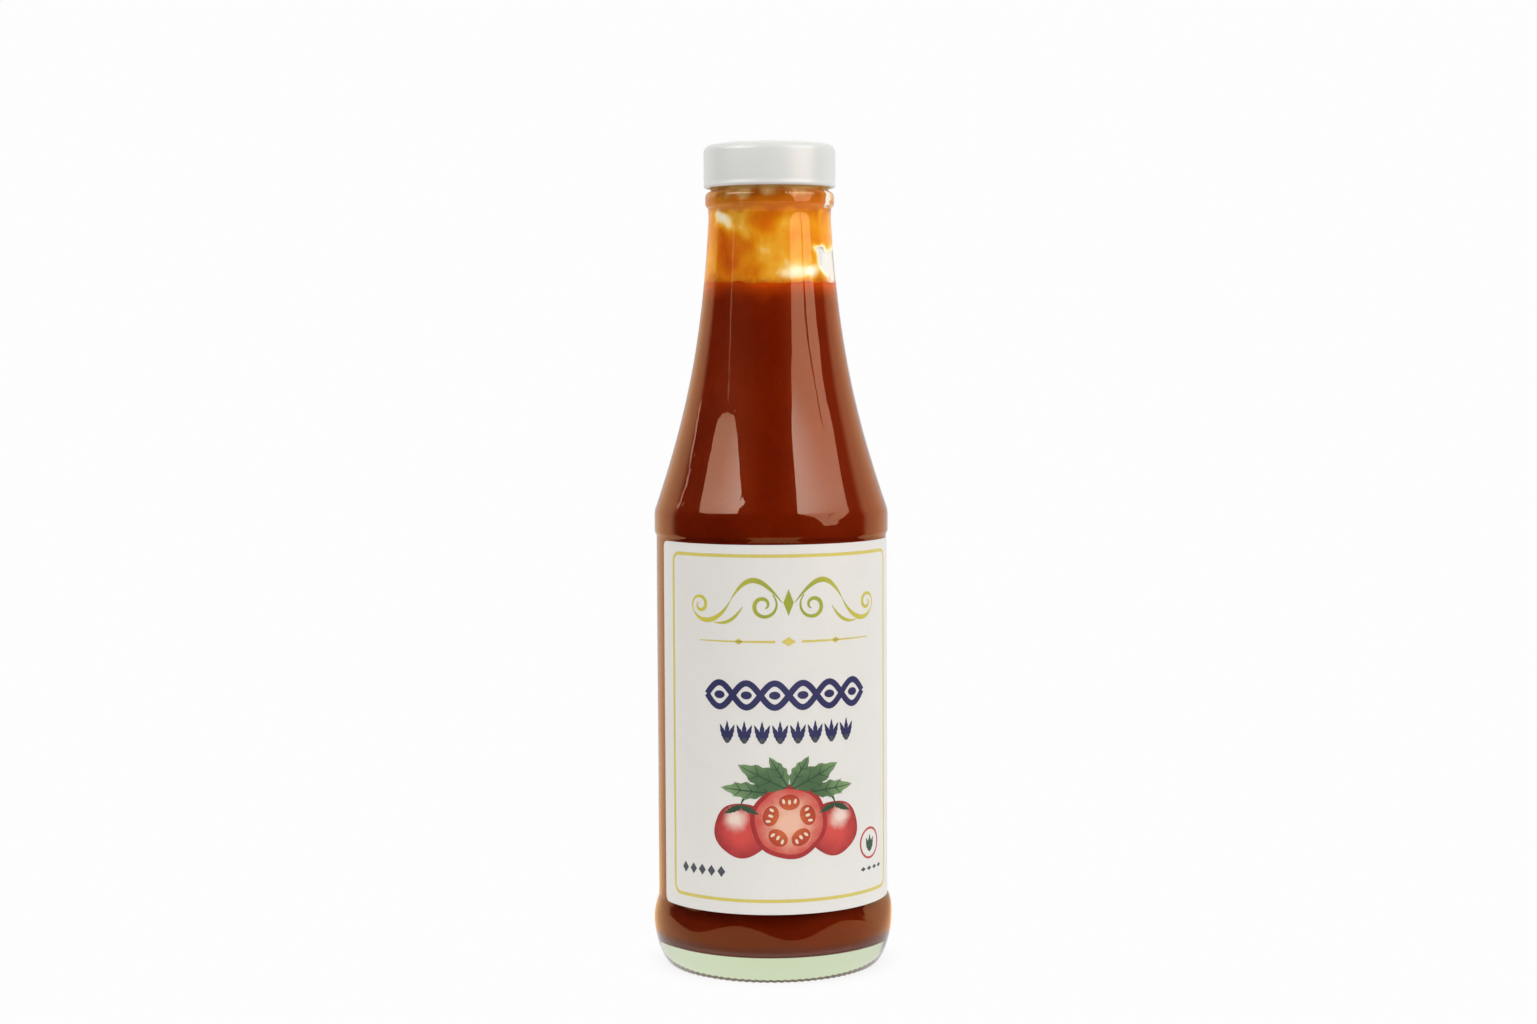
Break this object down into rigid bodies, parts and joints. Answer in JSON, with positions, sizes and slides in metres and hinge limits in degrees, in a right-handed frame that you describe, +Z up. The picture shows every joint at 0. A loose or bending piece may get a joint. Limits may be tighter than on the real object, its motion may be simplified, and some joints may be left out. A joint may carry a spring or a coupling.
{
  "type": "ketchup bottle",
  "caption": "Slender clear glass sauce bottle, filled to the neck, with a white twist-off metal cap and a bordered paper label wrapped round its front.",
  "frame": {"origin": "centre of the standing ring, on the surface that the bottle stands on", "axes": "+Z up along the bottle's axis, -Y out of the middle of the label, +X to the label's right as it is seen"},
  "size_m": [0.0594, 0.0594, 0.2019],
  "materials": {
    "glass": "clear, slightly green flint glass, polished",
    "sauce": null,
    "cap_enamel": "white baked enamel on pressed steel, satin gloss",
    "label_paper": "coated off-white paper with a yellow printed border"
  },
  "bodies": {
    "root": {"bottle_glass": "glass", "ketchup": "sauce", "cap": "cap_enamel", "label": "label_paper"}
  },
  "joints": []
}
